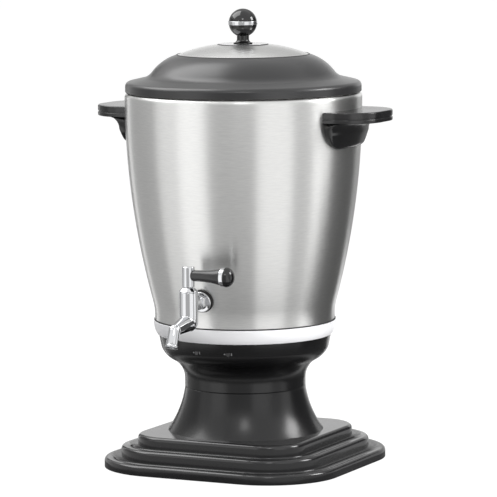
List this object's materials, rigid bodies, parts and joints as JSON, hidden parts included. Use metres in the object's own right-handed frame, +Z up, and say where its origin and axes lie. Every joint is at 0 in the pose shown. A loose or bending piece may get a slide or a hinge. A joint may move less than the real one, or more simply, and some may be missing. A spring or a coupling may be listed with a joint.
{
  "type": "electric samovar",
  "caption": "Electric samovar with a flared brushed steel vessel, stepped square base, side handles, lift-off domed lid with a ball knob, and a turning front tap.",
  "frame": {"origin": "on the column axis at the underside of the foot ring, where it stands on the table", "axes": "+Z up, -Y towards the tap, +X towards the handle that the tap lever points to when shut"},
  "size_m": [0.3108, 0.2924, 0.4577],
  "materials": {
    "satin_black_plastic": "satin moulded",
    "gloss_black_plastic": "polished moulded",
    "brushed_steel": "hairline brushed",
    "satin_silver": "satin silver coat",
    "chrome": "polished plate",
    "plain_steel": "plain drawn",
    "cast_aluminium": "as cast",
    "brass": "machined",
    "black_rubber": "matt",
    "silicone": "matt",
    "wire_cover": "woven sleeve",
    "board": "lacquered board",
    "lens": "clear moulded"
  },
  "bodies": {
    "samovar_body": {"base_cover": "satin_black_plastic", "base_tiers": "satin_black_plastic", "foot_bell": "satin_black_plastic", "bowl": "satin_black_plastic", "handle_bracket_right": "satin_black_plastic", "handle_bracket_left": "satin_black_plastic", "handle_cover_right": "satin_black_plastic", "handle_cover_left": "satin_black_plastic", "inlet_socket": "gloss_black_plastic", "switch_frame": "gloss_black_plastic", "thermostat": "gloss_black_plastic", "thermal_fuse": "gloss_black_plastic", "vessel_wall": "brushed_steel", "vessel_rim": "brushed_steel", "vessel_bottom": "brushed_steel", "trim_ring": "satin_silver", "tap_body": "chrome", "tap_flange": "chrome", "tap_bonnet": "chrome", "base_cover_screws": "plain_steel", "tie_rod": "plain_steel", "tie_rod_washer": "plain_steel", "tie_rod_nut": "plain_steel", "heating_element": "plain_steel", "handle_bolts": "plain_steel", "heater_plate": "cast_aluminium", "tap_lock_nut": "brass", "inlet_pins": "brass", "switch_tabs": "brass", "foot_ring": "black_rubber", "tap_gasket": "black_rubber", "handle_bolt_seals": "silicone", "tap_inner_gasket": "silicone", "wires": "wire_cover", "indicator_board": "board", "indicator_lenses": "lens"},
    "tap_lever": {"tap_plug": "brass", "plug_o_ring": "black_rubber", "lever_hub": "chrome", "lever_grub_screw": "plain_steel", "lever_rod": "plain_steel", "lever_grip": "satin_black_plastic", "lever_ring": "chrome", "lever_end_cap": "gloss_black_plastic"},
    "lid": {"lid_shell": "satin_black_plastic", "lid_dome_cap": "brushed_steel", "lid_liner": "brushed_steel", "lid_seal": "silicone", "lid_spacer": "plain_steel", "knob_disc": "brushed_steel", "knob_stem": "gloss_black_plastic", "knob_lower_half": "gloss_black_plastic", "knob_ring": "chrome", "knob_upper_half": "gloss_black_plastic", "knob_screw": "plain_steel", "knob_screw_washer": "silicone"},
    "rocker": {"switch_rocker": "gloss_black_plastic"}
  },
  "joints": [
    {"name": "tap_turn", "type": "hinge", "parent": "samovar_body", "child": "tap_lever", "pos_m": [0, -0.12499, 0.2], "axis": [0, 0, -1], "range_deg": [0, 90]},
    {"name": "lid_lift", "type": "slide", "parent": "samovar_body", "child": "lid", "axis": [0, 0, 1], "range_m": [0, 0.12]},
    {"name": "switch_rock", "type": "hinge", "parent": "samovar_body", "child": "rocker", "pos_m": [-0.018, 0.089, 0.1145], "axis": [0, 0, -1], "range_deg": [0, 16]}
  ]
}
